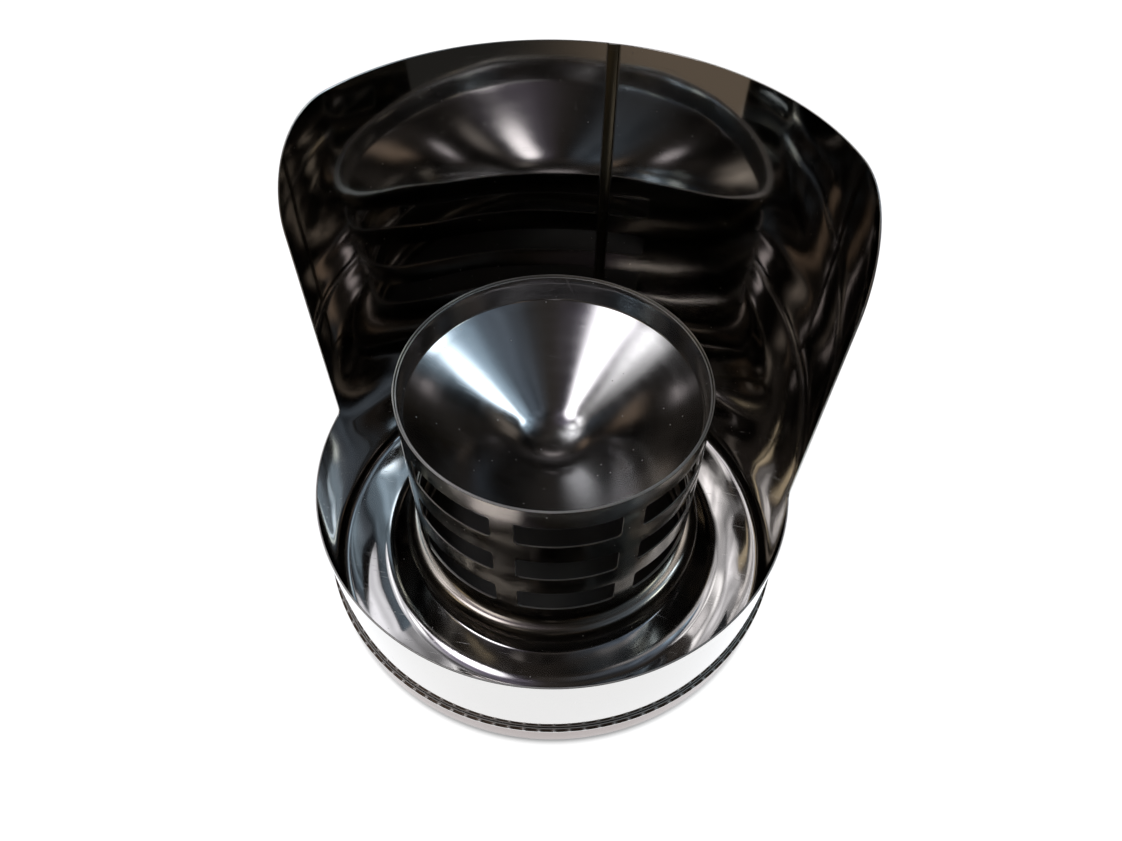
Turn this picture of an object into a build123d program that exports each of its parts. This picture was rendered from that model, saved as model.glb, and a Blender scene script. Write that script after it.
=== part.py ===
from build123d import *
from math import degrees, pi, radians, sin
import os

# Flue terminal for an outside wall, standing on the side that goes to the wall.
# Millimetres, +Z up, origin at the centre of the base on the surface it stands on.
# The middle of the half-round hood is towards +Y and the open side towards -Y.

# Sheet and fits
sheet = 0.7                  # thickness of every pressed or rolled sheet
slip_gap = 0.1               # gap between two sheets that slip into each other
rest_gap = 0.05              # gap between the collar's bead and what rests on it

# Base pan
pan_radius = 100.0           # outside of the pan's wall
pan_wall_height = 15.7       # base to the top of the wall
pan_corner_radius = 4.5      # inside of the bend between floor and wall
gutter_width = 17.0          # level outer ring of the floor, up to the wall
seat_width = 11.0            # level inner ring of the floor, round the collar
seat_height = 6.7            # base to the top of the inner ring
floor_bend_radius = 16.0     # both bends of the rising floor, on the upper side

# Crimped hem round the top of the pan's wall
hem_height = 2.4
crimp_count = 108
crimp_ridge = 1.1            # ridge left standing between two crimps
crimp_reach = 0.9            # how far a crimp reaches in from the hem's outside
crimp_depth = 0.3            # how far it is pressed down

# Wind hood: a full band below, a half-round hood above
rim_height = 54.2            # base to the band's open rim
hood_height = 187.0          # base to the top of the hood
hood_edge_offset = 4.5       # free edges of the hood, behind the middle of the band
hood_corner_radius = 36.0    # top corners of the hood
hood_relief_radius = 2.0     # corner between the rim and a free edge
seam_width = 4.0             # folded seam down the middle of the hood's back

# Outlet drum
drum_radius = 60.6           # outside of the drum
slot_rows = 3
slot_columns = 8
slot_height = 13.2
slot_corner_radius = 1.8
bar_width = 8.6              # upright bar between two columns of slots
strip_height = 10.2          # plain strip between two rows of slots
top_strip = 8.6              # plain strip above the upper row
bottom_strip = 12.8          # plain strip below the lower row
slot_turn = 18.0             # degrees from +X to the middle of the first column

# Deflector cone under the drum's top
cone_flange_height = 11.4    # flange turned up against the inside of the drum
cone_flange_setback = 0.6    # drum's lip above the flange
cone_flange_lean = 0.6       # how far the flange's foot stands in from its top
cone_depth = 28.0            # flange's foot to the tip
cone_tip_width = 20.0        # across the blunted tip
cone_tip_bend_radius = 25.0  # bend round the blunted tip, on the upper side
cone_edge_radius = 1.2       # bend between flange and cone, on the upper side

# Flue collar
collar_bottom = 1.0          # base to the collar's lower end
collar_overlap = 11.5        # how far the collar reaches up into the drum
bead_height = 17.2
bead_reach = 7.0             # how far the bead stands out from the collar
bead_bend_radius = 6.0       # round of the bead, on the outside

# Sizes that follow from the ones above
wall_inside = pan_radius - sheet
gutter_radius = wall_inside - gutter_width
hem_radius = pan_radius + sheet
hem_bottom = pan_wall_height - hem_height
crimp_length = 2 * pi * (hem_radius - crimp_reach) / crimp_count - crimp_ridge
hood_radius = wall_inside - slip_gap
hood_inside = hood_radius - sheet
hood_bottom = sheet + pan_corner_radius + slip_gap
drum_inside = drum_radius - sheet
collar_radius = drum_inside - slip_gap
collar_hole_radius = collar_radius + slip_gap
seat_radius = collar_hole_radius + seat_width
bead_bottom = seat_height + rest_gap
bead_top = bead_bottom + bead_height
drum_bottom = bead_top + rest_gap
collar_top = drum_bottom + collar_overlap
row_pitch = slot_height + strip_height
lowest_row = drum_bottom + bottom_strip + slot_height / 2
middle_row = lowest_row + row_pitch * (slot_rows - 1) / 2
drum_top = lowest_row + row_pitch * (slot_rows - 1) + slot_height / 2 + top_strip
column_pitch = 360 / slot_columns
slot_angle = column_pitch - degrees(bar_width / drum_radius)
slot_width = 2 * drum_radius * sin(radians(slot_angle / 2))
flange_radius = drum_inside - slip_gap
flange_inside = flange_radius - sheet
flange_top = drum_top - cone_flange_setback
flange_foot = flange_top - cone_flange_height
flange_foot_inside = flange_inside - cone_flange_lean
cone_tip = flange_foot - cone_depth
clear = 2 * pan_radius       # further than any cut has to reach

os.makedirs("parts", exist_ok=True)


# Pressed base pan: collar seat, rising floor, gutter and wall are one sheet.
with BuildPart() as base_pan:
    with BuildSketch(Plane.XZ):
        with BuildLine():
            FilletPolyline(
                (collar_hole_radius, seat_height),
                (seat_radius, seat_height),
                (gutter_radius, sheet),
                (wall_inside, sheet),
                (wall_inside, pan_wall_height),
                radius=[floor_bend_radius, floor_bend_radius, pan_corner_radius],
            )
            offset(amount=sheet, side=Side.RIGHT)
        make_face()
    revolve(axis=Axis.Z)
    # The wall's edge is folded out and down, then crimped all round from above.
    with BuildSketch(Plane.XY.offset(hem_bottom)):
        Circle(hem_radius)
        Circle(wall_inside, mode=Mode.SUBTRACT)
    extrude(amount=hem_height)
    with BuildSketch(Plane.XY.offset(pan_wall_height)):
        with PolarLocations(hem_radius, crimp_count):
            Rectangle(2 * crimp_reach, crimp_length)
    extrude(amount=-crimp_depth, mode=Mode.SUBTRACT)
base_pan.part.label = "base_pan"
export_step(base_pan.part, "parts/base_pan.step")


# Rolled wind hood: the band slips into the pan, and the sheet's ends meet in a folded seam.
with BuildPart() as wind_hood:
    with BuildSketch(Plane.XY.offset(hood_bottom)):
        Circle(hood_radius)
        Circle(hood_inside, mode=Mode.SUBTRACT)
    extrude(amount=hood_height - hood_bottom)
    with BuildSketch(Plane.XY.offset(hood_bottom)):
        Circle(hood_radius)
        Circle(hood_inside - sheet, mode=Mode.SUBTRACT)
        Rectangle(seam_width, clear, align=(Align.CENTER, Align.MIN), mode=Mode.INTERSECT)
    extrude(amount=hood_height - hood_bottom)
    # Seen from the side: low in front of the free edges, full height behind them.
    with BuildSketch(Plane.YZ):
        with BuildLine():
            FilletPolyline(
                (-clear, hood_bottom),
                (-clear, rim_height),
                (hood_edge_offset, rim_height),
                (hood_edge_offset, hood_height),
                (clear, hood_height),
                (clear, hood_bottom),
                radius=[0, hood_relief_radius, hood_corner_radius, 0],
            )
            Line((clear, hood_bottom), (-clear, hood_bottom))
        make_face()
    extrude(amount=clear, both=True, mode=Mode.INTERSECT)
wind_hood.part.label = "wind_hood"
export_step(wind_hood.part, "parts/wind_hood.step")


# Flue collar: a short pipe with one swaged bead between the pan's seat and the drum.
with BuildPart() as flue_collar:
    with BuildSketch(Plane.XZ):
        with BuildLine():
            FilletPolyline(
                (collar_radius, collar_bottom),
                (collar_radius, bead_bottom),
                (collar_radius + bead_reach, bead_bottom),
                (collar_radius + bead_reach, bead_top),
                (collar_radius, bead_top),
                (collar_radius, collar_top),
                radius=[0, bead_bend_radius, bead_bend_radius, 0],
            )
            offset(amount=sheet, side=Side.LEFT, kind=Kind.INTERSECTION)
        make_face()
    revolve(axis=Axis.Z)
flue_collar.part.label = "flue_collar"
export_step(flue_collar.part, "parts/flue_collar.step")


# Outlet drum: a rolled sheet with rows of punched slots all round.
with BuildPart() as outlet_drum:
    with BuildSketch(Plane.XY.offset(drum_bottom)):
        Circle(drum_radius)
        Circle(drum_inside, mode=Mode.SUBTRACT)
    extrude(amount=drum_top - drum_bottom)
    for column in range(slot_columns):
        turn = slot_turn + column * column_pitch
        outward = Vector(1, 0, 0).rotate(Axis.Z, turn)
        sideways = Vector(0, 1, 0).rotate(Axis.Z, turn)
        with BuildSketch(Plane((0, 0, middle_row), x_dir=sideways, z_dir=outward)):
            with GridLocations(0, row_pitch, 1, slot_rows):
                RectangleRounded(slot_width, slot_height, slot_corner_radius)
        extrude(amount=clear, mode=Mode.SUBTRACT)
outlet_drum.part.label = "outlet_drum"
export_step(outlet_drum.part, "parts/outlet_drum.step")


# Deflector cone: blunt point down inside the drum, its flange turned up against the wall.
with BuildPart() as deflector_cone:
    with BuildSketch(Plane.XZ):
        with BuildLine():
            FilletPolyline(
                (0, cone_tip),
                (cone_tip_width / 2, cone_tip),
                (flange_foot_inside, flange_foot),
                (flange_inside, flange_top),
                radius=[cone_tip_bend_radius, cone_edge_radius],
            )
            offset(amount=sheet, side=Side.RIGHT)
        make_face()
    revolve(axis=Axis.Z)
deflector_cone.part.label = "deflector_cone"
export_step(deflector_cone.part, "parts/deflector_cone.step")
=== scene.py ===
import math
import bpy
import numpy as np
from mathutils import Matrix, Vector


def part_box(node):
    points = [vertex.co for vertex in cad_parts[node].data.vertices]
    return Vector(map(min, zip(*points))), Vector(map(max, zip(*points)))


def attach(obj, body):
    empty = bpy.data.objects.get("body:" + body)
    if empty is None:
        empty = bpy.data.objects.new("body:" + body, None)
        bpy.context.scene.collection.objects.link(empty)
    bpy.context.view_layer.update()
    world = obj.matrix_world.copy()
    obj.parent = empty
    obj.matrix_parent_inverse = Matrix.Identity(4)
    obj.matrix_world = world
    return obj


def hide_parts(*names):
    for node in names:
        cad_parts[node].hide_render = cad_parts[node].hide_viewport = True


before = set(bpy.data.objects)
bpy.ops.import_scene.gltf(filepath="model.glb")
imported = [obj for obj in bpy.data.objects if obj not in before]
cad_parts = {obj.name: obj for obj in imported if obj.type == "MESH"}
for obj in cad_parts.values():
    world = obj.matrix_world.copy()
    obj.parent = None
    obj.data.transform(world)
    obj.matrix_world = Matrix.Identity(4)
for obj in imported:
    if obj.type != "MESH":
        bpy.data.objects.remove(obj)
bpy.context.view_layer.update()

# A flue terminal of bright stainless sheet, standing on its wall side.
# Every piece is a thin sheet worked out as a surface of two parameters, in metres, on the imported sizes.

mm = 0.001
sheet = 0.7 * mm
slip_gap = 0.1 * mm           # gap between two sheets that slip into each other
rest_gap = 0.05 * mm          # gap between the collar's bead and what it touches

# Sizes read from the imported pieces
pan_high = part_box("base_pan")[1]
hood_low, hood_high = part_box("wind_hood")
collar_low, collar_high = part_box("flue_collar")
drum_low, drum_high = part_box("outlet_drum")
cone_low, cone_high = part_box("deflector_cone")

# Base pan
hem_radius = pan_high.x
wall_top = pan_high.z
wall_inside = hem_radius - 2 * sheet
pan_corner = 4.5 * mm
gutter_width = 23.0 * mm
seat_width = 4.5 * mm
seat_height = 6.7 * mm
floor_bend = 14.0 * mm        # bend where the floor starts to rise from the gutter
seat_bend = 7.0 * mm          # bend where it ends at the seat
floor_swell = 0.6 * mm        # most that the pressed gutter bulges up
swell_level = 0.55            # share of the bulge that is the same all round
swell_side = 0.3              # share that is more towards +X
swell_waves = 0.15            # share that comes in waves
swell_wave_count = 5

# Crimped hem round the top of the pan's wall
hem_height = 2.4 * mm
crimp_count = 108
crimp_depth = 0.3 * mm
crimp_middle = 0.45 * mm      # middle of a crimp's bottom, from the hem's outside
crimp_reach = 0.8 * mm        # inner end of its bottom
crimp_step = 0.15 * mm        # slope behind it
crimp_fade = 1.2 * mm         # how far down the hem's outside a crimp fades out
half_faded = 0.45             # share of its depth half way down there
ridge_half = 0.3 * mm         # half of a ridge's level top
ridge_flank = 0.6 * mm        # slope beside it
ridge_wear = 1.4              # how rubbed the ridges are, where a cut edge has 1

# Wind hood
hood_radius = hood_high.x
hood_bottom = hood_low.z
hood_top = hood_high.z
rim_height = 54.2 * mm
edge_offset = 4.5 * mm        # free edges of the hood, behind the middle of the band
corner_radius = 36.0 * mm
relief_radius = 2.0 * mm      # corner between the rim and a free edge
seam_width = 4.0 * mm
seam_crown = 0.35             # how far the folded seam falls to its sides, as a share of the sheet
seam_shade_reach = 1.2               # how far the painted shade reaches from the seam's middle, in halves of its width

# Outlet drum
drum_radius = drum_high.x
drum_bottom = drum_low.z
drum_top = drum_high.z
slot_rows = 3
slot_columns = 8
slot_height = 13.2 * mm
slot_corner = 1.8 * mm
bar_width = 8.6 * mm
strip_height = 10.2 * mm
bottom_strip = 12.8 * mm
slot_turn = math.radians(18.0)

# Deflector cone
flange_radius = cone_high.x
flange_top = cone_high.z
flange_height = 11.4 * mm
flange_lean = 0.6 * mm
cone_tip = cone_low.z + sheet
tip_width = 20.0 * mm
tip_bend = 31.0 * mm
cone_edge = 1.2 * mm

# Flue collar
collar_radius = drum_radius - sheet - slip_gap
collar_bottom = collar_low.z
collar_top = collar_high.z
bead_radius = collar_high.x
bead_bottom = seat_height + rest_gap
bead_top = drum_bottom - rest_gap
bead_bend = 6.0 * mm
neck_bend = 0.9 * mm

# Eased edges of every sheet
edge_round = 0.14 * mm        # how far a cut edge stands out at its middle
edge_corner = 0.2             # where its level middle starts, as a share of the sheet
eased_edge = np.array([       # shares across the sheet and of edge_round
    (0.0, 0.0), (0.07, 0.7), (edge_corner, 1.0), (1 - edge_corner, 1.0), (0.93, 0.7), (1.0, 0.0),
])
sharp_angle = math.radians(42)

# Fineness of the surfaces
spin_steps = 360
crimp_columns = 7             # columns of the pan for each crimp
bend_steps = 8
floor_spacing = 3.0 * mm
tip_disc = 1.0 * mm           # radius of the flat disc in the middle of the cone
slot_side_steps = 14
slot_corner_steps = 3         # steps of half a slot's corner
frame_rings = np.array([0.0, 0.08, 0.25, 0.5, 0.75, 1.0])
corner_steps = 24
relief_columns = 6
back_steps = 60
front_steps = 180
seam_columns = np.array([1.5, 1.04, 0.96, 0.75, 0.5, 0.25, 0.0])   # from its middle, in halves of its width
band_steps = 12
relief_steps = 2
hood_steps = 40
least_row = 0.02 * mm         # least height of the relief's rows, so that no two points fall together
same_place = 0.001 * mm       # two points nearer than this count as level
weld_distance = 0.01 * mm

# Wear and painted shade of the steel: pairs of waves a metre, round the piece and across the polish lines
polish_waves = (9.0, 1400.0)
band_waves = (5.0, 260.0)
band_share = 0.5              # strength of the bands, as a share of the smudges
smudge_scale = 38.0
noise_middle = 0.5            # level about which noise varies
dust_scale = 260.0
dusty_cells = (0.7, 0.75)     # chance value from which a cell holds a grain of dust
grain_border = (0.09, 0.05)   # from outside to inside of a grain, in cells
scratch_kinds = (             # turn, length and width of the hand scratches that lie one way
    (0.35, 18.0 * mm, 0.4 * mm),
    (-0.9, 14.0 * mm, 0.35 * mm),
    (1.35, 22.0 * mm, 0.4 * mm),
)
scratch_level = (0.71, 0.79)  # noise level at which a scratch starts and is full
matt_shade_border = 0.2 * mm
satin_border = 4.0 * mm
scratch_rough = 0.16          # roughness that each kind of wear and painted shade adds
dull_rough = 0.16
shade_rough = 0.26
satin_rough = 0.03
dust_rough = 0.5
edge_rough = 0.45             # least roughness of a cut edge
rough_limits = (0.02, 0.9)
scratch_pale = 0.35           # how pale each kind of wear makes the metal
dust_pale = 0.6
edge_pale = 0.7
pale_metal = (0.78, 0.77, 0.75, 1)
# Painted shade: darker brown metal for the pan's outer wall, past the matt shade radius
painted_shade_metal = (0.28, 0.228, 0.208, 1)
polish_height = 0.002 * mm
scratch_height = -0.004 * mm
dent_height = 1.0 * mm
past_all = 1.0                # a radius past every piece

# Camera, in the photograph's pixels and in this frame
photo_width = 1122
focal_pixels = 788.2
sensor_width = 36.0
camera_place = (43.8 * mm, -198.4 * mm, 323.1 * mm)
camera_heading = math.radians(11.62)
camera_pitch = math.radians(50.015)
camera_roll = math.radians(1.265)

# Floor: pairs of places between which it changes, and its colours
floor_reach = 3.0
under_piece = (97.0 * mm, 101.5 * mm)     # from the shade under the base to the open floor
near_piece = (165.0 * mm, 145.0 * mm)     # from outside to inside of the white ring round the base
far_way = (-0.25, 1.0, 0.0)               # towards the far side
far_side = (-20.0 * mm, 80.0 * mm)        # from the dark near side to the white far side
warm_side = (200.0 * mm, -160.0 * mm)     # from the cool right to the warm left
floor_rough = 0.9
floor_white = (0.96, 0.96, 0.96, 1)
mirrored_white = (1.20, 1.23, 1.27, 1)
mirrored_dark = (0.016, 0.016, 0.015, 1)
mirrored_warm = (0.15, 0.118, 0.088, 1)
open_ground = (0.5, 0.5, 0.5, 1)
shaded_ground = (0.16, 0.155, 0.15, 1)
dark_ground = (0.02, 0.0175, 0.0155, 1)

# Room, lamps and glows: direction, spread along x, y and z, flat core, colour
room_colour = (0.018, 0.0155, 0.0135)
soft_lamps = (
    ((0.575, 0.33, 0.745), (0.12, 0.17, 0.11), 0.3, (2.8, 3.3, 3.7)),
    ((-0.33, -0.20, 0.92), (0.19, 0.24, 0.14), 0.4, (3.4, 3.3, 3.4)),
    ((-0.41, 0.16, 0.89), (0.10, 0.12, 0.08), 0.3, (2.0, 2.0, 2.0)),
    ((0.165, -0.77, 0.62), (0.09, 0.12, 0.11), 0.2, (0.9, 0.84, 0.88)),
    ((-0.55, -0.33, 0.77), (0.10, 0.14, 0.10), 0.2, (1.5, 1.28, 0.9)),
    ((0.70, 0.05, 0.71), (0.10, 0.15, 0.10), 0.2, (3.8, 4.2, 4.0)),
    ((-0.15, -0.56, 0.81), (0.12, 0.14, 0.12), 0.0, (0.4, 0.36, 0.33)),
    ((-0.85, -0.3, 0.42), (0.2, 0.2, 0.2), 0.0, (0.6, 0.54, 0.46)),
)
soft_glows = (
    ((0.56, 0.30, 0.77), (0.3, 0.42, 0.26), 0.0, (0.45, 0.62, 0.75)),
    ((-0.55, 0.0, 0.83), (0.2, 0.25, 0.18), 0.0, (1.7, 1.68, 1.7)),
    ((-0.40, 0.35, 0.84), (0.3, 0.4, 0.3), 0.1, (1.2, 1.2, 1.24)),
    ((-0.3, -0.1, 0.94), (0.40, 0.45, 0.28), 0.0, (0.17, 0.15, 0.21)),
    ((0.55, 0.05, 0.8), (0.5, 0.85, 0.5), 0.0, (0.14, 0.18, 0.23)),
    ((-0.45, -0.75, 0.48), (0.26, 0.26, 0.26), 0.0, (0.4, 0.35, 0.30)),
    ((0.5, -0.65, 0.57), (0.16, 0.16, 0.2), 0.0, (0.3, 0.22, 0.16)),
    ((-0.2, -0.96, 0.10), (0.8, 0.5, 0.18), 0.2, (0.2, 0.172, 0.15)),
    ((0.3, 0.9, 0.3), (0.9, 0.5, 0.35), 0.2, (0.9, 0.9, 0.9)),
)
cloud_levels = (0.36, 0.64)               # noise levels between which room and glows change
glow_clouds = (7.0, 0.3, 1.7)             # scale, and least and most light
room_clouds = (3.5, 0.2, 2.2)


def rounded_path(points, radii):
    """A polyline through the points whose inner corners are arcs of the given radii, tangent to both runs."""
    points = np.array(points, float)
    pieces = [points[:1]]
    for before, corner, after, radius in zip(points[:-2], points[1:-1], points[2:], radii):
        back = (before - corner) / np.linalg.norm(before - corner)
        on = (after - corner) / np.linalg.norm(after - corner)
        half = math.acos(np.clip(back @ on, -1, 1)) / 2
        centre = corner + (back + on) / np.linalg.norm(back + on) * radius / math.sin(half)
        first = corner + back * radius / math.tan(half) - centre
        last = corner + on * radius / math.tan(half) - centre
        start = math.atan2(first[1], first[0])
        sweep = math.atan2(first[0] * last[1] - first[1] * last[0], first @ last)
        angles = start + sweep * np.linspace(0, 1, bend_steps + 1)
        pieces.append(centre + radius * np.stack([np.cos(angles), np.sin(angles)], 1))
    return np.concatenate([*pieces, points[-1:]])


def refined(path, spacing):
    """The same polyline with points added on its long runs, about the spacing apart."""
    lengths = np.linalg.norm(np.diff(path, axis=0), axis=1)
    along = np.concatenate([[0], np.cumsum(lengths)])
    even = np.linspace(0, along[-1], max(2, int(along[-1] / spacing)))
    clear = np.abs(even[:, None] - along[None]).min(1) > spacing / 3
    stations = np.sort(np.concatenate([along, even[clear]]))
    return np.stack([np.interp(stations, along, path[:, i]) for i in range(2)], 1)


def offset_path(path, amount):
    """The polyline moved to its left by the amount, with mitred corners."""
    runs = np.diff(path, axis=0)
    left = np.stack([-runs[:, 1], runs[:, 0]], 1) / np.linalg.norm(runs, axis=1)[:, None]
    before = np.concatenate([left[:1], left])
    after = np.concatenate([left, left[-1:]])
    mitre = (before + after) / (1 + (before * after).sum(1))[:, None]
    return path + amount * mitre


def rounded_end(first, last):
    """Points of a sheet's cut edge from one face to the other, both corners eased, without its two ends."""
    across = last - first
    outward = np.array([across[1], -across[0]]) / np.linalg.norm(across)
    points = first + eased_edge[:, :1] * across + eased_edge[:, 1:] * outward * edge_round
    return points[1:-1]


def marked(points, cut):
    """Points of a section with a third column that tells how far they belong to a cut or pressed edge."""
    return np.column_stack([points, np.broadcast_to(cut, len(points))])


def sheet_section(path, thickness):
    """A sheet's outline: its path, an eased edge, the path offset to its left and back, an eased edge."""
    other = offset_path(path, thickness)
    far_edge = rounded_end(path[-1], other[-1])
    near_edge = rounded_end(other[0], path[0])
    return np.concatenate([
        marked(path, 0), marked(far_edge, 1), marked(other[::-1], 0), marked(near_edge, 1),
    ])


def add_piece(name, points, faces, uvs, cut, material):
    """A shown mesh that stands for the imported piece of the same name, from points and rows of corners."""
    mesh = bpy.data.meshes.new(name)
    mesh.from_pydata(points.tolist(), [], faces)
    layer = mesh.uv_layers.new(name="sheet_metres")
    layer.data.foreach_set("uv", uvs.astype(np.float32).reshape(-1))
    edge = mesh.attributes.new("cut_edge", "FLOAT", "POINT")
    edge.data.foreach_set("value", cut.astype(np.float32))
    mesh.materials.append(material)
    mesh.polygons.foreach_set("use_smooth", np.ones(len(mesh.polygons), bool))
    mesh.set_sharp_from_angle(angle=sharp_angle)
    piece = bpy.data.objects.new(name + "_sheet", mesh)
    bpy.context.scene.collection.objects.link(piece)
    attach(piece, "root")
    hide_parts(name)
    return piece


def add_painted_shade(piece, amount):
    """How strongly the sheet is painted dark at each point as painted shade, from 0 to 1."""
    layer = piece.data.attributes.new("grime", "FLOAT", "POINT")
    layer.data.foreach_set("value", amount.astype(np.float32).reshape(-1))


def spun_sheet(name, section, material, steps=spin_steps, shape=None, capped=False):
    """A section of (radius, height, cut) rows turned about Z: (r cos a, r sin a, h) for each angle a.

    shape, where given, takes the grids of angle, radius and height and returns the new radius and height.
    A closed section makes a ring. A capped one starts and ends beside the axis, where a flat disc closes it.
    """
    count = len(section)
    rows = count - 1 if capped else count
    angle = np.arange(steps) * 2 * math.pi / steps
    turn, radius = np.meshgrid(angle, section[:, 0], indexing="ij")
    height = np.broadcast_to(section[:, 1], turn.shape)
    if shape:
        radius, height = shape(turn, radius, height)
    points = np.stack([radius * np.cos(turn), radius * np.sin(turn), height], -1).reshape(-1, 3)
    column, row = np.meshgrid(np.arange(steps), np.arange(rows), indexing="ij")
    corner_column = np.stack([column, column + 1, column + 1, column], -1)
    corner_row = np.stack([row, row, row + 1, row + 1], -1)
    faces = ((corner_column % steps) * count + corner_row % count).reshape(-1, 4).tolist()
    runs = np.diff(np.concatenate([section, section[:1]])[:, :2], axis=0)
    along = np.concatenate([[0], np.cumsum(np.linalg.norm(runs, axis=1))])
    uvs = np.stack([corner_column * 2 * math.pi / steps * section[:, 0].max(), along[corner_row]], -1)
    uvs = uvs.reshape(-1, 2)
    if capped:
        ring = np.arange(steps) * count
        faces += [ring[::-1].tolist(), (ring + count - 1).tolist()]
        uvs = np.concatenate([uvs, points[ring[::-1], :2], points[ring + count - 1, :2]])
    return add_piece(name, points, faces, uvs, np.tile(section[:, 2], steps), material)


def two_sided_sheet(name, outer, inner, faces, plane_uvs, material):
    """A sheet from matching points of its outer and inner face, closed by an eased edge along every border.

    A border is a side that only one face has. Its edge has two more rows of points, moved out by edge_round.
    """
    count = len(outer)
    sides = np.stack([faces, np.roll(faces, -1, 1)], -1).reshape(-1, 2)
    twin = np.isin(sides[:, 0] * count + sides[:, 1], sides[:, 1] * count + sides[:, 0])
    start, end = sides[~twin].T
    run = outer[end] - outer[start]
    out = np.cross(run, outer[start] - inner[start])
    out /= np.linalg.norm(out, axis=1)[:, None]
    push = np.zeros((count, 3))
    np.add.at(push, start, out)
    np.add.at(push, end, out)
    border = np.unique(start)
    number = np.zeros(count, int)
    number[border] = np.arange(len(border))
    push = push[border] / np.linalg.norm(push[border], axis=1)[:, None] * edge_round
    across = inner[border] - outer[border]
    near = outer[border] + edge_corner * across + push
    far = outer[border] + (1 - edge_corner) * across + push
    first_near = 2 * count
    first_far = first_near + len(border)
    starts = [start, first_near + number[start], first_far + number[start], count + start]
    ends = [end, first_near + number[end], first_far + number[end], count + end]
    edges = [np.stack([b, a, c, d], 1) for a, b, c, d in zip(starts, ends, starts[1:], ends[1:])]
    points = np.concatenate([outer, inner, near, far])
    every = np.concatenate([faces, count + faces[:, ::-1], *edges])
    flat = np.concatenate([plane_uvs, plane_uvs, plane_uvs[border], plane_uvs[border]])
    cut = np.arange(len(points)) >= first_near
    return add_piece(name, points, every.tolist(), flat[every], cut, material)


def base_pan(material):
    """Pan: wall, gutter, rising floor and collar seat in one path, with the folded hem round the wall's top.

    The hem's upper outer corner is pressed down by crimp_depth between narrow ridges, crimp_count times a
    turn, and the pressed pockets are painted dark as painted shade. The gutter bulges up by floor_swell sin^2
    of its share of the way across, in slow waves round the pan.
    """
    gutter_radius = wall_inside - gutter_width
    hole_radius = collar_radius + slip_gap
    path = rounded_path(
        [(wall_inside, wall_top), (wall_inside, sheet), (gutter_radius, sheet),
         (hole_radius + seat_width, seat_height), (hole_radius, seat_height)],
        [pan_corner, floor_bend, seat_bend],
    )
    path = refined(path, floor_spacing)
    hem_bottom = wall_top - hem_height
    lower = offset_path(path, sheet)[::-1]
    lower = lower[lower[:, 1] < hem_bottom - edge_round]
    ease = edge_round
    hem = np.array([          # radius, height and share of the crimps' depth
        (wall_inside + sheet, hem_bottom, 0),
        (hem_radius - ease, hem_bottom, 0),
        (hem_radius, hem_bottom + ease, 0),
        (hem_radius, wall_top - crimp_fade, 0),
        (hem_radius, wall_top - crimp_fade / 2, half_faded),
        (hem_radius, wall_top - ease, 1),
        (hem_radius - ease, wall_top, 1),
        (hem_radius - crimp_middle, wall_top, 1),
        (hem_radius - crimp_reach, wall_top, 1),
        (hem_radius - crimp_reach - crimp_step, wall_top, 0),
        (wall_inside + ease, wall_top, 0),
    ])
    hem_cut = np.where(hem[:, 1] > wall_top - crimp_fade, ridge_wear, 0.0)
    section = np.concatenate([
        marked(path[1:], 0), marked(rounded_end(path[-1], lower[0]), 1), marked(lower, 0),
        marked(hem[:, :2], hem_cut), marked(path[:1] - (0, ease), 0),
    ])
    pressed = np.zeros(len(section))
    pressed[-1 - len(hem) : -1] = hem[:, 2]

    def pocket(turn):
        """0 on a ridge and 1 between two ridges, with straight slopes."""
        phase = turn * crimp_count / (2 * math.pi) % 1.0
        from_ridge = np.minimum(phase, 1 - phase) * 2 * math.pi * hem_radius / crimp_count
        return np.clip((from_ridge - ridge_half) / ridge_flank, 0, 1)

    def crimped(turn, radius, height):
        """Heights with the gutter's bulge added and the hem's crimps pressed in."""
        across = np.clip((radius - gutter_radius) / (wall_inside - pan_corner - gutter_radius), 0, 1)
        waves = swell_level + swell_side * np.cos(turn) + swell_waves * np.cos(swell_wave_count * turn)
        swell = floor_swell * np.sin(math.pi * across) ** 2 * waves
        return radius, height + swell - crimp_depth * pressed * pocket(turn)

    steps = crimp_columns * crimp_count
    piece = spun_sheet("base_pan", section, material, steps=steps, shape=crimped)
    turns = np.arange(steps) * 2 * math.pi / steps
    # Painted shade: the crimps' pressed pockets are painted dark brown
    add_painted_shade(piece, pocket(turns)[:, None] * (pressed == 1))
    return piece


def flue_collar(material):
    """Collar: a pipe with one swaged bead, its path going up so that the sheet lies on the inside."""
    path = rounded_path(
        [(collar_radius, collar_bottom), (collar_radius, bead_bottom), (bead_radius, bead_bottom),
         (bead_radius, bead_top), (collar_radius, bead_top), (collar_radius, collar_top)],
        [neck_bend, bead_bend, bead_bend, neck_bend],
    )
    section = sheet_section(refined(path, floor_spacing), sheet)
    return spun_sheet("flue_collar", section, material)


def deflector_cone(material):
    """Cone: blunt tip below, straight side up to an eased corner, flange leaning out to the drum's wall."""
    inside = flange_radius - sheet
    path = rounded_path(
        [(inside, flange_top), (inside - flange_lean, flange_top - flange_height), (tip_width / 2, cone_tip),
         (tip_disc, cone_tip)],
        [cone_edge, tip_bend],
    )
    path = refined(path, floor_spacing)
    lower = offset_path(path, sheet)
    edge = rounded_end(lower[0], path[0])
    section = np.concatenate([marked(lower[::-1], 0), marked(edge, 1), marked(path, 0)])
    return spun_sheet("deflector_cone", section, material, capped=True)


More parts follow.
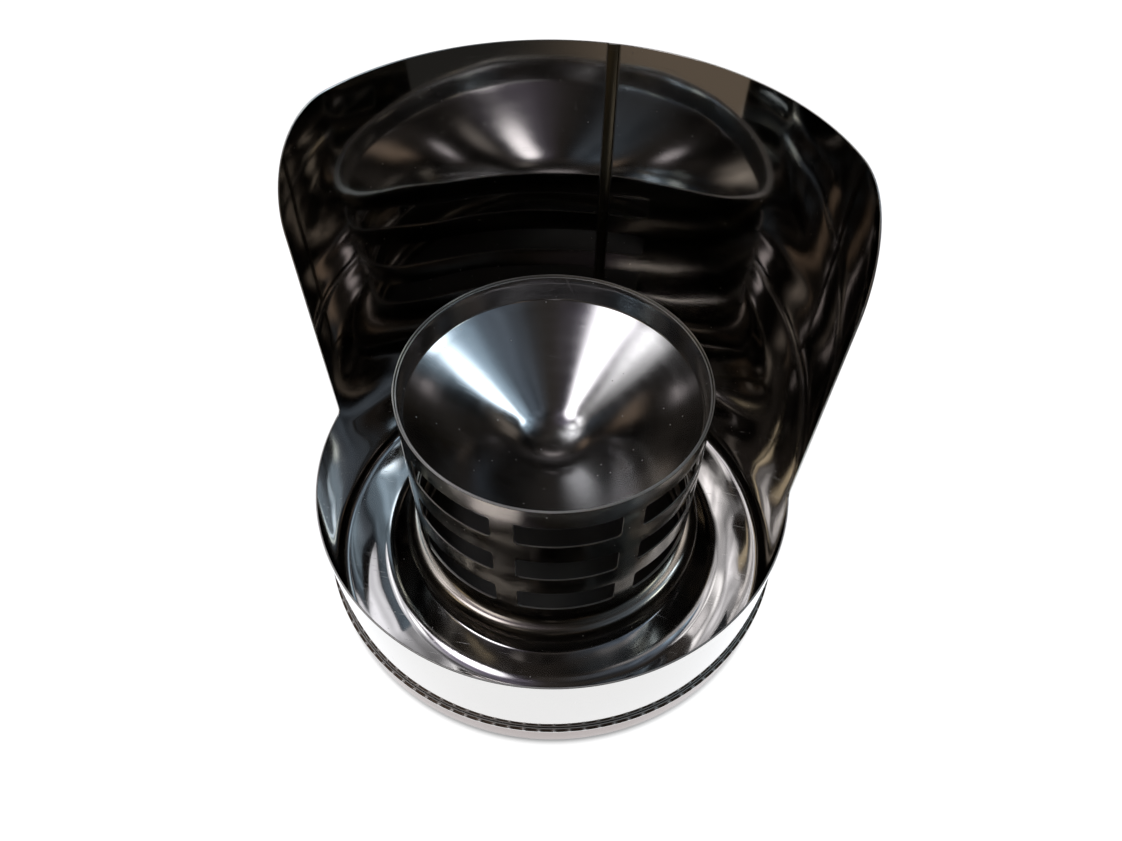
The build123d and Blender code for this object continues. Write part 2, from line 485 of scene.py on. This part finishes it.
def outlet_drum(material):
    """Drum: a frame of sheet round each punched slot, all frames meeting, rolled to a cylinder.

    In a frame, points run from the slot's rounded outline (0) straight to the frame's outline (1).
    Rolling: a point x along the sheet and z up goes to the angle x / radius.
    """
    cell_width = 2 * math.pi * drum_radius / slot_columns
    half_width = (cell_width - bar_width) / 2
    half_height = slot_height / 2
    reach_x = half_width - slot_corner
    reach_z = half_height - slot_corner
    eighth = np.linspace(0, math.pi / 4, slot_corner_steps + 1)
    bow = slot_corner * np.sin(eighth)
    dip = slot_corner * np.cos(eighth)
    level = np.linspace(-reach_x, reach_x, 2 * slot_side_steps + 1)[1:-1]
    upright = np.linspace(-reach_z, reach_z, slot_side_steps + 1)[1:-1]
    side_x = np.concatenate([(-reach_x - bow)[::-1], level, reach_x + bow])
    side_z = np.concatenate([(-reach_z - dip)[::-1], np.full(level.size, -half_height), -reach_z - dip])
    post_x = np.concatenate([(reach_x + dip)[::-1], np.full(upright.size, half_width), reach_x + dip])
    post_z = np.concatenate([(-reach_z - bow)[::-1], upright, reach_z + bow])
    side = np.stack([side_x, side_z], 1)[:-1]
    post = np.stack([post_x, post_z], 1)[:-1]
    slot = np.concatenate([side, post, -side, -post])
    flat_side = np.stack([side[:, 0] / side_x[-1], -np.ones(len(side))], 1)
    flat_post = np.stack([np.ones(len(post)), post[:, 1] / post_z[-1]], 1)
    flat_x, flat_z = np.concatenate([flat_side, flat_post, -flat_side, -flat_post]).T
    row_pitch = slot_height + strip_height
    middles = drum_bottom + bottom_strip + half_height + row_pitch * np.arange(slot_rows)
    cuts = np.concatenate([[drum_bottom], (middles[1:] + middles[:-1]) / 2, [drum_top]])
    grids = np.meshgrid(np.arange(slot_rows), np.arange(slot_columns), frame_rings, indexing="ij")
    row, column, ring = [grid[..., None] for grid in grids]
    frame_z = np.where(flat_z > 0, cuts[row + 1] - middles[row], middles[row] - cuts[row]) * flat_z
    x = slot[:, 0] * (1 - ring) + cell_width / 2 * flat_x * ring + column * cell_width
    x = x + drum_radius * slot_turn
    z = slot[:, 1] * (1 - ring) + frame_z * ring + middles[row]
    layer = np.arange(x.size).reshape(-1, len(frame_rings), len(slot))
    ahead = np.roll(layer, -1, 2)
    faces = np.stack([layer[:, 1:], ahead[:, 1:], ahead[:, :-1], layer[:, :-1]], -1).reshape(-1, 4)
    flat = np.stack([x.reshape(-1), z.reshape(-1)], 1)
    turn = flat[:, 0] / drum_radius
    ring_points = np.stack([np.cos(turn), np.sin(turn), flat[:, 1]], 1)
    ring_points, faces, flat = welded(ring_points, faces, flat)
    outer = ring_points * (drum_radius, drum_radius, 1)
    inner = ring_points * (drum_radius - sheet, drum_radius - sheet, 1)
    return two_sided_sheet("outlet_drum", outer, inner, faces, flat, material)


def welded(points, faces, flat):
    """Points that coincide become one, and the faces follow."""
    keys = np.round(points / weld_distance).astype(np.int64)
    first, inverse = np.unique(keys, axis=0, return_index=True, return_inverse=True)[1:]
    return points[first], inverse.reshape(-1)[faces], flat[first]


def wind_hood(material):
    """Hood: a rolled sheet whose upper border is the rim in front and the hood's outline behind.

    Columns go round by the angle a, and y = radius sin a. Behind the free edges the border is
    hood_top - corner_radius + sqrt(corner_radius^2 - (edge_offset + corner_radius - y)^2), then level.
    Rows fill the band up to the rim, the relief beside a free edge, and the hood above it.
    The folded seam stands in by sheet (1 - seam_crown s^2), where s is the share of the way to its side.
    """
    corner_end = edge_offset + corner_radius
    relief_start = edge_offset - relief_radius
    relief_y = relief_start + relief_radius * np.sin(np.linspace(0, math.pi / 2, relief_columns + 1))
    corner_y = corner_end - corner_radius * np.cos(np.linspace(0, math.pi / 2, corner_steps + 1))
    right = np.arcsin(np.concatenate([relief_y[:-1], corner_y]) / hood_radius)
    flank = seam_width / 2 / hood_radius * seam_columns
    back = np.linspace(right[-1], math.pi / 2 - flank[0], back_steps)[1:]
    half = np.concatenate([right, back, math.pi / 2 - flank[1:]])
    whole = np.concatenate([half, math.pi - half[-2::-1]])
    front = np.linspace(math.pi - right[0], 2 * math.pi + right[0], front_steps)[1:-1]
    turn = np.concatenate([whole, front])
    y = hood_radius * np.sin(turn)
    hooded = np.arange(turn.size) < whole.size
    in_corner = np.clip(corner_end - y, 0, corner_radius)
    top = hood_top - corner_radius + np.sqrt(corner_radius ** 2 - in_corner ** 2)
    in_relief = np.clip(y - relief_start, 0, relief_radius)
    relief_top = rim_height + relief_radius - np.sqrt(relief_radius ** 2 - in_relief ** 2)
    relief_top = np.where(hooded, np.maximum(relief_top, rim_height + least_row), rim_height)
    tall = hooded & (y >= edge_offset - same_place)
    levels = [np.linspace(0, 1, steps + 1) for steps in (band_steps, relief_steps, hood_steps)]
    band = hood_bottom + levels[0][:, None] * (rim_height - hood_bottom) + 0 * turn
    relief = rim_height + levels[1][1:, None] * (relief_top - rim_height)
    above = relief_top + levels[2][1:, None] * (np.where(tall, top, relief_top) - relief_top)
    z = np.concatenate([band, relief, above])
    number = np.arange(z.size).reshape(z.shape)
    ahead = np.roll(number, -1, 1)
    quads = np.stack([number[:-1], ahead[:-1], ahead[1:], number[1:]], -1)
    lowest_row = np.arange(z.shape[0] - 1)[:, None]
    both_hooded = hooded & np.roll(hooded, -1)
    both_tall = tall & np.roll(tall, -1)
    kept = np.where(lowest_row < band_steps, True,
                    np.where(lowest_row < band_steps + relief_steps, both_hooded, both_tall))
    faces = quads[kept]
    used, inverse = np.unique(faces, return_inverse=True)
    faces = inverse.reshape(faces.shape)
    turn = np.broadcast_to(turn, z.shape).reshape(-1)[used]
    z = z.reshape(-1)[used]
    from_seam = np.abs(turn - math.pi / 2) * hood_radius / (seam_width / 2)
    seam = np.where(from_seam < 1, 1 - seam_crown * from_seam ** 2, 0)
    outer = np.stack([hood_radius * np.cos(turn), hood_radius * np.sin(turn), z], 1)
    inside = hood_radius - sheet - sheet * seam
    inner = np.stack([inside * np.cos(turn), inside * np.sin(turn), z], 1)
    flat = np.stack([turn * hood_radius, z], 1)
    piece = two_sided_sheet("wind_hood", outer, inner, faces, flat, material)
    # Painted shade: the inside of the folded seam is painted dark brown
    grime = np.zeros(len(piece.data.vertices))
    grime[len(outer) : 2 * len(outer)] = from_seam < seam_shade_reach
    add_painted_shade(piece, grime)
    return piece


def add_node(tree, kind, values=(), **settings):
    """A shader node with its settings, and its inputs set from constants or linked from sockets."""
    node = tree.nodes.new(kind)
    for name, value in settings.items():
        setattr(node, name, value)
    for key, value in dict(values).items():
        if isinstance(value, bpy.types.NodeSocket):
            tree.links.new(value, node.inputs[key])
        else:
            node.inputs[key].default_value = value
    return node


def maths(tree, operation, first, second=0.0, third=0.0):
    """A number worked out from up to three others."""
    values = {0: first, 1: second, 2: third}
    return add_node(tree, "ShaderNodeMath", values, operation=operation).outputs[0]


def vectors(tree, operation, first, second=(0.0, 0.0, 0.0)):
    """A vector worked out from two others, or a number where the operation gives one."""
    node = add_node(tree, "ShaderNodeVectorMath", {0: first, 1: second}, operation=operation)
    return node.outputs["Value" if operation in ("LENGTH", "DOT_PRODUCT") else "Vector"]


def scaled(tree, vector, factor):
    """A vector or colour times a number."""
    values = {0: vector, "Scale": factor}
    return add_node(tree, "ShaderNodeVectorMath", values, operation="SCALE").outputs["Vector"]


def smooth(tree, value, low, high):
    """0 at low, 1 at high, and a smooth step between them."""
    values = {"Value": value, "From Min": low, "From Max": high}
    return add_node(tree, "ShaderNodeMapRange", values, interpolation_type="SMOOTHSTEP").outputs[0]


def mixed(tree, share, first, second):
    """The first colour where the share is 0, the second where it is 1."""
    values = {"Factor": share, "A": first, "B": second}
    return add_node(tree, "ShaderNodeMix", values, data_type="RGBA").outputs["Result"]


def worn_and_shaded_steel_group():
    """Shared look of bright sheet: polish lines, hand scratches, smudges, dust, painted shade and gentle
    dents.

    Polish lines vary quickly along the section (V of the sheet map) and slowly round the piece (x and y).
    Past the matt shade radius the metal is matt, and painted darker and brown as painted shade; within the
    satin radius it is a little less bright.
    Roughness is the given one plus smudges and bands about their middle plus each kind of wear and painted
    shade by its mask.
    """
    tree = bpy.data.node_groups.new("worn_and_shaded_steel", "ShaderNodeTree")
    sockets = (
        ("Lie", "Vector"), ("Colour", "Color"), ("Grime Colour", "Color"), ("Roughness", "Float"),
        ("Polish", "Float"), ("Scratches", "Float"), ("Smudges", "Float"), ("Dust", "Float"),
        ("Dents", "Float"), ("Dent Scale", "Float"), ("Dull Radius", "Float"), ("Satin Radius", "Float"),
    )
    for name, kind in sockets:
        tree.interface.new_socket(name=name, in_out="INPUT", socket_type="NodeSocket" + kind)
    for name, kind in (("Base Color", "Color"), ("Roughness", "Float"), ("Height", "Float")):
        tree.interface.new_socket(name=name, in_out="OUTPUT", socket_type="NodeSocket" + kind)
    given = tree.nodes.new("NodeGroupInput").outputs
    place = add_node(tree, "ShaderNodeTexCoord").outputs["Object"]
    sheet_map = add_node(tree, "ShaderNodeUVMap", uv_map="sheet_metres").outputs["UV"]
    at = add_node(tree, "ShaderNodeSeparateXYZ", {0: place}).outputs
    along = add_node(tree, "ShaderNodeSeparateXYZ", {0: sheet_map}).outputs

    def times(first, second):
        return maths(tree, "MULTIPLY", first, second)

    def times_plus(first, second, third):
        return maths(tree, "MULTIPLY_ADD", first, second, third)

    def minus(first, second):
        return maths(tree, "SUBTRACT", first, second)

    def larger(first, second):
        return maths(tree, "MAXIMUM", first, second)

    def smaller(first, second):
        return maths(tree, "MINIMUM", first, second)

    def noise(vector, scale, detail=2.0, roughness=0.55):
        values = {"Vector": vector, "Scale": scale, "Detail": detail, "Roughness": roughness}
        return add_node(tree, "ShaderNodeTexNoise", values).outputs["Fac"]

    def round_the_piece(slow, quick):
        values = {0: times(at["X"], slow), 1: times(at["Y"], slow), 2: times(along["Y"], quick)}
        return add_node(tree, "ShaderNodeCombineXYZ", values).outputs[0]

    def turned_lines(turn, length, width):
        stretch = (1 / length, 1 / width, 1.0)
        values = {"Vector": given["Lie"], "Rotation": (0.0, 0.0, turn), "Scale": stretch}
        mapped = add_node(tree, "ShaderNodeMapping", values, vector_type="POINT").outputs[0]
        return smooth(tree, noise(mapped, 1.0, detail=1.0), *scratch_level)

    def point_mark(name):
        return add_node(tree, "ShaderNodeAttribute", attribute_name=name).outputs["Fac"]

    # Masks, from 0 to 1
    across = maths(tree, "SQRT", times_plus(at["X"], at["X"], times(at["Y"], at["Y"])))
    # Painted shade: past the matt shade radius the metal is painted darker and brown, and made matt
    dull = smooth(tree, minus(across, given["Dull Radius"]), -matt_shade_border, matt_shade_border)
    satin = smooth(tree, minus(given["Satin Radius"], across), -satin_border, satin_border)
    lines = turned_lines(*scratch_kinds[0])
    for kind in scratch_kinds[1:]:
        lines = larger(lines, turned_lines(*kind))
    lines = times(times(lines, given["Scratches"]), minus(1.0, dull))
    # Painted shade: where this mark is 1, the crimp pockets and the hood's seam are painted dark brown
    grime = point_mark("grime")
    cut = times(point_mark("cut_edge"), minus(1.0, grime))
    cells = add_node(tree, "ShaderNodeTexVoronoi", {"Vector": place, "Scale": dust_scale}).outputs
    chance = add_node(tree, "ShaderNodeSeparateColor", {0: cells["Color"]}).outputs[0]
    grain = times(smooth(tree, chance, *dusty_cells), smooth(tree, cells["Distance"], *grain_border))
    dust = times(grain, given["Dust"])

    # Roughness
    smudge = noise(place, smudge_scale, detail=4.0, roughness=0.6)
    bands = noise(round_the_piece(*band_waves), 1.0)
    rough = times_plus(minus(smudge, noise_middle), given["Smudges"], given["Roughness"])
    rough = times_plus(minus(bands, noise_middle), times(given["Smudges"], band_share), rough)
    added = (
        (lines, scratch_rough), (dull, dull_rough), (grime, shade_rough), (satin, satin_rough),
        (dust, dust_rough),
    )
    for mask, amount in added:
        rough = times_plus(mask, amount, rough)
    rough = smaller(larger(rough, rough_limits[0]), rough_limits[1])
    rough = larger(rough, times(cut, edge_rough))

    # Colour
    pale = times_plus(dust, dust_pale, times(lines, scratch_pale))
    pale = smaller(times_plus(cut, edge_pale, pale), 1.0)
    # Painted shade: darker brown metal past the matt shade radius
    colour = mixed(tree, dull, given["Colour"], painted_shade_metal)
    # Painted shade: dark brown where the painted-shade mark lies
    colour = mixed(tree, grime, colour, given["Grime Colour"])
    colour = mixed(tree, pale, colour, pale_metal)

    # Height
    polish = noise(round_the_piece(*polish_waves), 1.0, detail=3.0, roughness=0.6)
    dents = noise(place, given["Dent Scale"], detail=0.6, roughness=0.4)
    height = times(polish, times(given["Polish"], polish_height))
    height = times_plus(dents, times(given["Dents"], dent_height), height)
    height = times_plus(lines, scratch_height, height)

    leave = tree.nodes.new("NodeGroupOutput")
    for name, value in (("Base Color", colour), ("Roughness", rough), ("Height", height)):
        tree.links.new(value, leave.inputs[name])
    return tree


def bright_steel(name, group, colour, level, **amounts):
    """Bright stainless sheet: the shared wear and painted shade in the amounts given, on one metal.

    Hand scratches lie in the plan of a level sheet, and in the sheet's own map on an upright one.
    """
    material = bpy.data.materials.new(name)
    material.use_nodes = True
    tree = material.node_tree
    shader = tree.nodes["Principled BSDF"]
    wear = add_node(tree, "ShaderNodeGroup", node_tree=group)
    wear.inputs["Colour"].default_value = (*colour, 1)
    if level:
        lie = add_node(tree, "ShaderNodeTexCoord").outputs["Object"]
    else:
        lie = add_node(tree, "ShaderNodeUVMap", uv_map="sheet_metres").outputs["UV"]
    tree.links.new(lie, wear.inputs["Lie"])
    for key, value in amounts.items():
        wear.inputs[key.replace("_", " ").title()].default_value = value
    bump = add_node(tree, "ShaderNodeBump", {"Height": wear.outputs["Height"], "Distance": 1.0})
    shader.inputs["Metallic"].default_value = 1.0
    tree.links.new(wear.outputs["Base Color"], shader.inputs["Base Color"])
    tree.links.new(wear.outputs["Roughness"], shader.inputs["Roughness"])
    tree.links.new(bump.outputs["Normal"], shader.inputs["Normal"])
    return material


def add_camera():
    """The camera at the photograph's place: heading, pitch and roll about its own axes."""
    lens = bpy.data.cameras.new("camera")
    lens.sensor_width = sensor_width
    lens.lens = sensor_width * focal_pixels / photo_width
    camera = bpy.data.objects.new("camera", lens)
    bpy.context.scene.collection.objects.link(camera)
    heading = Matrix.Rotation(camera_heading, 4, "Z")
    pitch = Matrix.Rotation(math.pi / 2 - camera_pitch, 4, "X")
    roll = Matrix.Rotation(camera_roll, 4, "Z")
    camera.matrix_world = Matrix.Translation(camera_place) @ heading @ pitch @ roll
    bpy.context.scene.camera = camera


def add_floor():
    """A pale floor, white to the camera, with a shaded patch under the base.

    The steel mirrors it white near the piece and on the far side, and elsewhere dark, warmer on the left.
    """
    corners = np.array([(-1, -1, 0), (1, -1, 0), (1, 1, 0), (-1, 1, 0)]) * floor_reach
    mesh = bpy.data.meshes.new("floor")
    mesh.from_pydata(corners.tolist(), [], [(0, 1, 2, 3)])
    material = bpy.data.materials.new("pale_floor")
    material.use_nodes = True
    tree = material.node_tree
    shader = tree.nodes["Principled BSDF"]
    place = add_node(tree, "ShaderNodeTexCoord").outputs["Object"]
    ray = add_node(tree, "ShaderNodeLightPath").outputs
    distance = vectors(tree, "LENGTH", place)
    aside = add_node(tree, "ShaderNodeSeparateXYZ", {0: place}).outputs["X"]
    in_the_open = smooth(tree, distance, *under_piece)
    near = smooth(tree, distance, *near_piece)
    far = smooth(tree, vectors(tree, "DOT_PRODUCT", place, far_way), *far_side)
    bright = maths(tree, "MAXIMUM", far, near)
    dim = mixed(tree, smooth(tree, aside, *warm_side), mirrored_dark, mirrored_warm)
    mirrored = mixed(tree, bright, dim, mirrored_white)
    seen = mixed(tree, ray["Is Glossy Ray"], floor_white, mirrored)
    shown = maths(tree, "MAXIMUM", ray["Is Camera Ray"], ray["Is Glossy Ray"])
    strength = maths(tree, "MULTIPLY", shown, in_the_open)
    unlit = maths(tree, "MULTIPLY", ray["Is Glossy Ray"], maths(tree, "SUBTRACT", 1.0, bright))
    ground = mixed(tree, in_the_open, shaded_ground, open_ground)
    ground = mixed(tree, unlit, ground, dark_ground)
    tree.links.new(ground, shader.inputs["Base Color"])
    shader.inputs["Roughness"].default_value = floor_rough
    shader.inputs["Specular IOR Level"].default_value = 0.0
    tree.links.new(seen, shader.inputs["Emission Color"])
    tree.links.new(strength, shader.inputs["Emission Strength"])
    mesh.materials.append(material)
    floor = bpy.data.objects.new("floor", mesh)
    bpy.context.scene.collection.objects.link(floor)


def add_studio():
    """A dim room with lamps and uneven glows, white to the camera.

    Each is a spot in the sky: 1 in its core, and 0 where the distance in units of its spread is 1.
    """
    world = bpy.data.worlds.new("studio")
    world.use_nodes = True
    tree = world.node_tree
    background = tree.nodes["Background"]
    way = add_node(tree, "ShaderNodeTexCoord").outputs["Generated"]

    def uneven(scale, least, most):
        values = {"Vector": way, "Scale": scale, "Detail": 2.0}
        clouds = add_node(tree, "ShaderNodeTexNoise", values).outputs["Fac"]
        values = {"Value": clouds, "From Min": cloud_levels[0], "From Max": cloud_levels[1],
                  "To Min": least, "To Max": most}
        return add_node(tree, "ShaderNodeMapRange", values).outputs[0]

    def with_spots(total, spots):
        for middle, spread, core, colour in spots:
            offset = vectors(tree, "SUBTRACT", way, Vector(middle).normalized())
            away = vectors(tree, "LENGTH", vectors(tree, "DIVIDE", offset, spread))
            lit = scaled(tree, colour, smooth(tree, away, 1.0, core))
            total = vectors(tree, "ADD", total, lit)
        return total

    glow = scaled(tree, with_spots((0, 0, 0), soft_glows), uneven(*glow_clouds))
    room = scaled(tree, room_colour, uneven(*room_clouds))
    total = with_spots(vectors(tree, "ADD", glow, room), soft_lamps)
    ray = add_node(tree, "ShaderNodeLightPath").outputs["Is Camera Ray"]
    tree.links.new(mixed(tree, ray, total, (1, 1, 1, 1)), background.inputs["Color"])
    bpy.context.scene.world = world
    bpy.context.scene.view_settings.view_transform = "Standard"


# Shared steel look: real wear, and painted shade where a piece is marked for it
wear = worn_and_shaded_steel_group()
# Painted shade: the pan's outer wall is painted darker brown and its crimp pockets dark
base_pan(bright_steel(
    "pan_steel", wear, (0.62, 0.61, 0.615), level=True,
    roughness=0.07, polish=0.2, scratches=1.0, smudges=0.10, dust=0.6, dents=1.6, dent_scale=24.0,
    dull_radius=99.8 * mm, satin_radius=77.5 * mm, grime_colour=(0.11, 0.08, 0.06, 1),
))
# Painted shade: the collar is a darker, browner copy of the bright steel
flue_collar(bright_steel(
    "collar_steel", wear, (0.42, 0.385, 0.345), level=False,
    roughness=0.17, polish=0.3, scratches=0.3, smudges=0.16, dust=0.8, dents=0.6, dent_scale=30.0,
    dull_radius=past_all,
))
# Painted shade: the drum is a darker, browner copy of the bright steel
outlet_drum(bright_steel(
    "drum_steel", wear, (0.37, 0.355, 0.32), level=False,
    roughness=0.10, polish=0.4, scratches=0.4, smudges=0.12, dust=0.6, dents=0.6, dent_scale=45.0,
    dull_radius=past_all,
))
deflector_cone(bright_steel(
    "cone_steel", wear, (0.56, 0.56, 0.565), level=True,
    roughness=0.14, polish=0.1, scratches=0.6, smudges=0.14, dust=1.0, dents=0.3, dent_scale=30.0,
    dull_radius=past_all, satin_radius=12.0 * mm,
))
# Painted shade: the hood's seam is painted dark brown
wind_hood(bright_steel(
    "hood_steel", wear, (0.58, 0.56, 0.535), level=False,
    roughness=0.05, polish=0.5, scratches=0.25, smudges=0.06, dust=0.5, dents=0.6, dent_scale=20.0,
    dull_radius=past_all, grime_colour=(0.12, 0.105, 0.07, 1),
))
add_floor()
add_studio()
add_camera()
